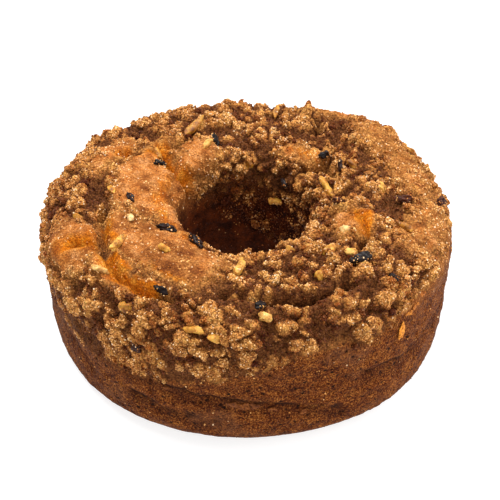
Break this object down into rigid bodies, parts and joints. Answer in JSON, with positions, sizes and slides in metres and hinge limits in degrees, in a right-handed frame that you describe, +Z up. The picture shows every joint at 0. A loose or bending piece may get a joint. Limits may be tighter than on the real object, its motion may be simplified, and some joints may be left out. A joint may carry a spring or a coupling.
{
  "type": "crumb coffee cake",
  "caption": "Ring cake with a craggy brown sugar crumb topping, chopped walnuts and raisins, split crust and a plain tapered side, standing on a flat base",
  "frame": {"origin": "bottom centre of the cake: on the axis of its hole, in the plane of its flat base", "axes": "+Z up along the axis of the hole, -Y towards the side that the picture shows, +X to the right as seen from there"},
  "size_m": [0.2011, 0.2023, 0.0829],
  "materials": {
    "crust": "baked crust with sugar crumbs",
    "walnut": "chopped walnut",
    "raisin": "baked raisin"
  },
  "bodies": {
    "root": {"cake": "crust", "walnut_back_left": "walnut", "walnut_left": "walnut", "walnut_right_of_hole": "walnut", "walnut_front_of_hole": "walnut", "walnut_back": "walnut", "walnut_front_left": "walnut", "walnut_front_edge": "walnut", "walnut_far_left": "walnut", "raisin_right_front": "raisin", "raisin_hole_left": "raisin", "raisin_hole_front": "raisin", "raisin_front_left": "raisin", "raisin_hole_right": "raisin", "raisin_right": "raisin"}
  },
  "joints": []
}
